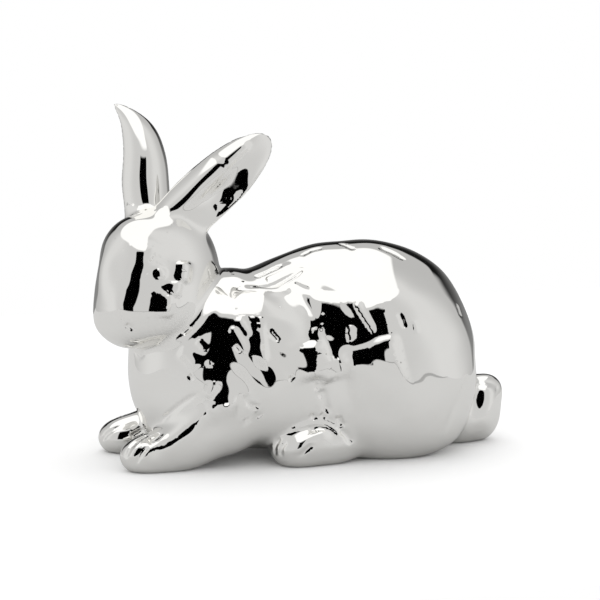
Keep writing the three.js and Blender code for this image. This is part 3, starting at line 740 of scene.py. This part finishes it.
def new_material(name):
    """A node material with only its output."""
    material = bpy.data.materials.new(name)
    material.use_nodes = True
    material.node_tree.nodes.clear()
    return material, material.node_tree


def blend_colour(tree, factor, first, second):
    """A Mix node that goes from the first colour to the second as factor rises to 1."""
    mix = tree.nodes.new("ShaderNodeMix")
    mix.data_type = "RGBA"
    tree.links.new(factor.socket, mix.inputs[0])
    mix.inputs[6].default_value = (*first, 1)
    mix.inputs[7].default_value = (*second, 1)
    return Wire(tree, mix.outputs[2])


SILVER_DULL, SILVER_CLEAR = (0.938, 0.93, 0.903), (0.963, 0.955, 0.928)
RUBBER_DARK, RUBBER_WORN = (0.02, 0.02, 0.021), (0.05, 0.05, 0.051)


def silver_plate():
    """Mirror silver: faint clouding of the tone and the polish, and a barely wavy surface."""
    material, tree = new_material("silver_plate")
    place = node(tree, "ShaderNodeTexCoord", output=3)
    clouds = node(tree, "ShaderNodeTexNoise", {}, Vector=place, Scale=45.0, Detail=3.0)
    wipes = node(tree, "ShaderNodeTexNoise", {}, Vector=place, Scale=260.0, Detail=2.0)
    waves = node(tree, "ShaderNodeTexNoise", {}, Vector=place, Scale=120.0, Detail=1.0)
    colour = blend_colour(tree, clouds.rise(0.3, 0.7), SILVER_DULL, SILVER_CLEAR)
    bump = node(tree, "ShaderNodeBump", {}, Strength=0.12, Distance=0.0004, Height=waves)
    shader = node(tree, "ShaderNodeBsdfPrincipled", {}, Metallic=1.0,
                  Base_Color=colour, Roughness=wipes * 0.03 + 0.012, Normal=bump)
    node(tree, "ShaderNodeOutputMaterial", {}, shader)
    return material


def plug_rubber():
    """Black moulded rubber with a fine grain."""
    material, tree = new_material("plug_rubber")
    place = node(tree, "ShaderNodeTexCoord", output=3)
    grain = node(tree, "ShaderNodeTexNoise", {}, Vector=place, Scale=900.0, Detail=2.0)
    colour = blend_colour(tree, grain, RUBBER_DARK, RUBBER_WORN)
    bump = node(tree, "ShaderNodeBump", {}, Strength=0.3, Distance=0.0002, Height=grain)
    shader = node(tree, "ShaderNodeBsdfPrincipled", {}, Metallic=0.0,
                  Base_Color=colour, Roughness=grain * 0.2 + 0.55, Normal=bump)
    node(tree, "ShaderNodeOutputMaterial", {}, shader)
    return material


# The castings

GRID_BOX = (-84.0, -42.0, -4.0), (84.0, 42.0, 134.0)


def build_castings():
    """Meshes the whole figurine once and cuts it into the castings along their creases."""
    silver = silver_plate()
    low, high = (np.array(corner) for corner in GRID_BOX)
    value = sample(joined, low, high, MESH_STEP)
    vertices, quads = surface_net(value, low, MESH_STEP)
    vertices = settle(settle(vertices, joined, 2), dressed, 2)
    normals = slope_of(dressed, vertices)
    normals /= np.maximum(np.linalg.norm(normals, axis=1), 1e-9)[:, None]
    triangles = triangles_of(quads, vertices)
    near = every_field(vertices)
    for name in FIELDS:
        rivals = np.min([near[other] for other in FIELDS if other != name], axis=0)
        own_value = near[name] - rivals
        part = compact(*clip(vertices, normals, triangles, own_value))
        if name == "torso":
            halves = {"body_shell_left": part[0][:, 1], "body_shell_right": -part[0][:, 1]}
            for half_name, half_value in halves.items():
                finish_casting(half_name, *compact(*clip(*part, half_value)), silver)
        else:
            finish_casting("head_shell" if name == "head" else name, *part, silver)


def finish_casting(name, vertices, normals, triangles, material):
    """Makes the piece, and puts it in the place of its construction solid."""
    piece = add_piece(name + "_skin", vertices, normals, triangles, material)
    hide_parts(name)
    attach(piece, "figurine")


def dress_plug():
    """The plug keeps its construction shape and gets its rubber."""
    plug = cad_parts["belly_plug"]
    rubber = plug_rubber()
    plug.data.materials.clear()
    plug.data.materials.append(rubber)


# The studio

def add_camera():
    """A long lens, from the rabbit's front left and a little above."""
    data = bpy.data.cameras.new("camera")
    data.sensor_width = 36.0
    data.lens = data.sensor_width * VIEW_DISTANCE * PIXELS_PER_MM / PICTURE_SIZE
    camera = bpy.data.objects.new("camera", data)
    camera.location = ORIGIN + (VIEW_BACK * VIEW_DISTANCE + [0, 0, VIEW_HEIGHT]) * MM
    camera.rotation_euler = (pi / 2 - VIEW_ELEVATION, 0, VIEW_AZIMUTH)
    bpy.context.scene.collection.objects.link(camera)
    bpy.context.scene.camera = camera


WALL_GREY, TOP_WHITE, FAR_WALL_GREY, TABLE_GREY = 0.72, 1.08, 0.25, 0.59
PANEL_LEFT, PANEL_RIGHT = -0.9, 0.44
# Soft edges, each from where a thing starts to where it is whole, as shares of a unit direction
SLOT_LEFT, SLOT_RIGHT, SLOT_FRONT, SLOT_TOP = (-0.26, -0.24), (0.34, 0.32), (0.0, 0.1), (0.72, 0.69)
PANEL_SIDE, PANEL_FOOT, TABLE_LINE = (0.02, -0.02), (0.76, 0.80), (-0.5, -0.4)
FAR_SIDE, FAR_TOP, FAR_FADE = (-0.66, -0.78), (0.53, 0.49), (-0.2, 0.42)
TABLE_HALF_LENGTH, TABLE_FRONT, TABLE_BACK, TABLE_RIM, RIM_SHADE = 0.24, -0.19, 0.3, 0.012, 0.6
LAMP_SIZE, LAMP_POWER, LAMP_PLACE = 0.7, 1.2, (0.05, 0.1, 0.9)


def add_world():
    """A light tent as the silver sees it: pale walls, a white panel on top, a dark slot at the camera."""
    world = bpy.data.worlds.new("studio")
    bpy.context.scene.world = world
    world.use_nodes = True
    tree = world.node_tree
    tree.nodes.clear()
    direction = node(tree, "ShaderNodeTexCoord", output=0)
    split = tree.nodes.new("ShaderNodeSeparateXYZ")
    tree.links.new(direction.socket, split.inputs[0])
    x, y, z = (Wire(tree, split.outputs[i]) for i in range(3))
    flat = (x * x + y * y + 1e-6).maths("SQRT")
    sideways = x * cos(VIEW_AZIMUTH) + y * sin(VIEW_AZIMUTH)
    right_of_camera = sideways / flat
    toward_camera = (x * sin(VIEW_AZIMUTH) - y * cos(VIEW_AZIMUTH)) / flat
    slot = (right_of_camera.rise(*SLOT_LEFT) * right_of_camera.rise(*SLOT_RIGHT)
            * toward_camera.rise(*SLOT_FRONT) * z.rise(*SLOT_TOP))
    sides = toward_camera.rise(0.85, 0.45) * 0.14 - toward_camera.rise(0.2, -0.7) * 0.28
    wall = (sides + 0.86) * WALL_GREY * (1 - slot)
    panel = (sideways - z * PANEL_RIGHT).rise(*PANEL_SIDE)
    panel = panel * (sideways - z * PANEL_LEFT).rise(*PANEL_SIDE[::-1])
    grey = wall + (TOP_WHITE - wall) * z.rise(*PANEL_FOOT) * panel
    grey = TABLE_GREY + (grey - TABLE_GREY) * z.rise(*TABLE_LINE)
    far = toward_camera.rise(*FAR_SIDE) * z.rise(*FAR_TOP)
    far_grey = (1 - z.rise(*FAR_FADE) * 0.97) * FAR_WALL_GREY
    grey = grey + (far_grey - grey) * far
    path = tree.nodes.new("ShaderNodeLightPath")
    camera_ray = Wire(tree, path.outputs["Is Camera Ray"])
    glossy_ray = Wire(tree, path.outputs["Is Glossy Ray"])
    transmission_ray = Wire(tree, path.outputs["Is Transmission Ray"])
    plain = camera_ray + transmission_ray
    seen = plain + (1 - plain) * (grey * glossy_ray + (1 - glossy_ray))
    background = node(tree, "ShaderNodeBackground", {}, Strength=seen)
    background.socket.node.inputs["Color"].default_value = (1, 1, 1, 1)
    node(tree, "ShaderNodeOutputWorld", {}, background)


def add_floor():
    """A white table top that ends a hand's width round the figurine; silver sees it in the tent's shade."""
    mesh = bpy.data.meshes.new("floor")
    x0, x1, y0, y1 = -TABLE_HALF_LENGTH, TABLE_HALF_LENGTH, TABLE_FRONT, TABLE_BACK
    mesh.from_pydata([(x0, y0, 0), (x1, y0, 0), (x1, y1, 0), (x0, y1, 0)], [], [(0, 1, 2, 3)])
    floor = bpy.data.objects.new("floor", mesh)
    bpy.context.scene.collection.objects.link(floor)
    material, tree = new_material("white_table")
    path = tree.nodes.new("ShaderNodeLightPath")
    glossy = Wire(tree, path.outputs["Is Glossy Ray"])
    place = node(tree, "ShaderNodeTexCoord", output=3)
    depth = node(tree, "ShaderNodeSeparateXYZ", {}, place, output=1)
    # Seen in the silver, the table is painted grey for the tent's shade, and a strip along its front edge
    # gets a darker painted shadow line
    rim = depth.rise(TABLE_FRONT + TABLE_RIM, TABLE_FRONT + TABLE_RIM * 0.8)
    shade = 1.0 - glossy * (1.0 - TABLE_GREY * (1 - rim * (1 - RIM_SHADE)))
    colour = node(tree, "ShaderNodeCombineColor", {}, shade, shade, shade)
    shader = node(tree, "ShaderNodeBsdfDiffuse", {}, Color=colour)
    node(tree, "ShaderNodeOutputMaterial", {}, shader)
    mesh.materials.append(material)


def add_lamp():
    """One wide soft lamp overhead, which the silver doesn't see as a lamp."""
    data = bpy.data.lights.new("top_light", "AREA")
    data.shape = "SQUARE"
    data.size = LAMP_SIZE
    data.energy = LAMP_POWER
    lamp = bpy.data.objects.new("top_light", data)
    lamp.location = LAMP_PLACE
    lamp.visible_glossy = False
    bpy.context.scene.collection.objects.link(lamp)


build_castings()
dress_plug()
add_camera()
add_world()
add_floor()
add_lamp()
bpy.context.scene.view_settings.view_transform = "Standard"
